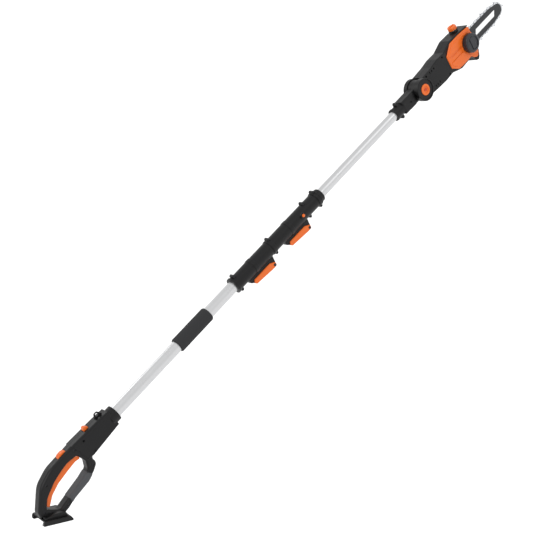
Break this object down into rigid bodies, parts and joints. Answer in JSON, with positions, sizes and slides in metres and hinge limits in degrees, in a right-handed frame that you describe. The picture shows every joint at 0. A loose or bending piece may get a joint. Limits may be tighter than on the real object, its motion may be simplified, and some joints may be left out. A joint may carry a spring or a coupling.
{
  "type": "telescoping pole saw",
  "caption": "Cordless telescoping pole saw: looped rear handle, two-stage aluminium pole with clamp collar, tilting saw head with short bar and chain.",
  "frame": {"origin": "on the pole's axis, where it passes through the rear grip", "axes": "+X along the pole to the saw head, +Z towards the lock-off button, -Y towards the side with the sprocket cover"},
  "size_m": [2.1958, 0.0895, 0.1777],
  "materials": {
    "black_plastic": "fine moulded texture",
    "knob_plastic": "fine moulded texture",
    "soft_grip": "soft-touch",
    "foam": "closed-cell foam",
    "orange_plastic": "satin moulded plastic",
    "tube_aluminium": "satin anodised",
    "spring_steel": "bright",
    "dark_screws": "blackened",
    "inner_plastic": "moulded",
    "circuit_board": "lacquered",
    "contact_metal": "bright",
    "cable_rubber": "smooth",
    "bar_steel": "dark lacquer with rubbed edges",
    "chain_steel": "bright, lightly oiled",
    "chain_dark": "oiled steel",
    "gear_steel": "machined",
    "motor_can": "zinc plated",
    "tank_plastic": "translucent natural plastic"
  },
  "bodies": {
    "handle": {"handle_shell_near": "black_plastic", "handle_shell_far": "black_plastic", "strut_cover": "soft_grip", "trigger_pin": "spring_steel", "trigger_spring": "spring_steel", "main_switch": "inner_plastic", "lock_off_spring": "spring_steel", "tube_latch_spring": "spring_steel", "strap_eyelet": "black_plastic", "terminal_block": "inner_plastic", "terminal_blades": "contact_metal", "control_board": "circuit_board", "handle_screws": "dark_screws", "lower_tube": "tube_aluminium", "foam_grip": "foam", "curly_cable": "cable_rubber", "coupler_lower_near": "black_plastic", "coupler_lower_far": "black_plastic", "coupler_upper_near": "black_plastic", "coupler_upper_far": "black_plastic", "lever_pins": "spring_steel", "clamp_pads": "inner_plastic", "coupler_screws": "dark_screws", "pole_button_spring": "spring_steel", "guide_bush": "inner_plastic"},
    "trigger": {"trigger": "orange_plastic"},
    "lock_off_button": {"lock_off_button": "orange_plastic"},
    "tube_latch": {"tube_latch": "orange_plastic"},
    "clamp_lever_lower": {"clamp_lever_lower": "orange_plastic"},
    "clamp_lever_upper": {"clamp_lever_upper": "orange_plastic"},
    "pole_button": {"pole_button": "orange_plastic"},
    "upper_pole": {"upper_tube": "tube_aluminium", "slide_bush": "inner_plastic", "head_lead": "cable_rubber", "link_near": "black_plastic", "link_far": "black_plastic", "link_screws": "dark_screws", "lock_ring": "gear_steel", "pivot_axle": "spring_steel"},
    "saw_head": {"housing_near": "black_plastic", "housing_far": "black_plastic", "housing_screws": "dark_screws", "sprocket_cover": "orange_plastic", "guide_bar": "bar_steel", "chain_drive_links": "chain_dark", "chain_side_links": "chain_steel", "bar_stud": "spring_steel", "motor": "motor_can", "spindle_bearings": "spring_steel", "oil_tank": "tank_plastic", "tilt_button_spring": "spring_steel"},
    "tilt_button": {"tilt_button": "orange_plastic"},
    "cover_knob": {"cover_knob": "knob_plastic"},
    "oil_cap": {"oil_cap": "orange_plastic"},
    "spindle": {"spindle": "spring_steel", "face_gear": "gear_steel", "drive_sprocket": "gear_steel"},
    "motor_rotor": {"motor_rotor": "gear_steel"},
    "nose_sprocket": {"nose_sprocket": "gear_steel"}
  },
  "joints": [
    {"name": "trigger_squeeze", "type": "hinge", "parent": "handle", "child": "trigger", "pos_m": [0.054, 0, 0.003], "axis": [0, 1, 0], "range_deg": [0, 3.5], "stiffness_Nm_per_rad": 6, "springref_deg": -3.44, "deforming": ["trigger_spring"]},
    {"name": "lock_off_press", "type": "slide", "parent": "handle", "child": "lock_off_button", "axis": [0, 0, -1], "range_m": [0, 0.003], "stiffness_N_per_m": 400, "springref_m": -0.002, "deforming": ["lock_off_spring"]},
    {"name": "tube_latch_press", "type": "slide", "parent": "handle", "child": "tube_latch", "axis": [0, 0, -1], "range_m": [0, 0.003], "stiffness_N_per_m": 400, "springref_m": -0.002, "deforming": ["tube_latch_spring"]},
    {"name": "clamp_lever_lower_open", "type": "hinge", "parent": "handle", "child": "clamp_lever_lower", "pos_m": [0.831, 0, -0.045], "axis": [0, -1, 0], "range_deg": [0, 80]},
    {"name": "clamp_lever_upper_open", "type": "hinge", "parent": "handle", "child": "clamp_lever_upper", "pos_m": [0.994, 0, -0.045], "axis": [0, -1, 0], "range_deg": [0, 80]},
    {"name": "pole_button_press", "type": "slide", "parent": "handle", "child": "pole_button", "axis": [0, 1, 0], "range_m": [0, 0.002], "stiffness_N_per_m": 400, "springref_m": -0.002, "deforming": ["pole_button_spring"]},
    {"name": "pole_extend", "type": "slide", "parent": "handle", "child": "upper_pole", "axis": [1, 0, 0], "range_m": [-0.37, 0], "deforming": ["curly_cable"]},
    {"name": "head_tilt", "type": "hinge", "parent": "upper_pole", "child": "saw_head", "pos_m": [1.6, 0, 0], "axis": [0, 1, 0], "range_deg": [0, 45]},
    {"name": "tilt_button_press", "type": "slide", "parent": "saw_head", "child": "tilt_button", "axis": [0, 1, 0], "range_m": [0, 0.004], "stiffness_N_per_m": 600, "springref_m": -0.002, "deforming": ["tilt_button_spring"]},
    {"name": "cover_knob_turn", "type": "hinge", "parent": "saw_head", "child": "cover_knob", "pos_m": [1.851, -0.035, -0.002], "axis": [0, 1, 0], "continuous": true},
    {"name": "oil_cap_turn", "type": "hinge", "parent": "saw_head", "child": "oil_cap", "pos_m": [1.846, 0.006, 0.06], "axis": [0, 0, 1], "continuous": true},
    {"name": "spindle_spin", "type": "hinge", "parent": "saw_head", "child": "spindle", "pos_m": [1.792, -0.01, -0.002], "axis": [0, 1, 0], "continuous": true},
    {"name": "motor_spin", "type": "hinge", "parent": "saw_head", "child": "motor_rotor", "pos_m": [1.7, 0.002, -0.002], "axis": [1, 0, 0], "continuous": true},
    {"name": "nose_sprocket_spin", "type": "hinge", "parent": "saw_head", "child": "nose_sprocket", "pos_m": [2.0426, -0.0126, -0.002], "axis": [0, 1, 0], "continuous": true}
  ],
  "couplings": [
    {"joint": "motor_spin", "follows": "spindle_spin", "ratio": 3},
    {"joint": "nose_sprocket_spin", "follows": "spindle_spin", "ratio": 0.85714}
  ]
}
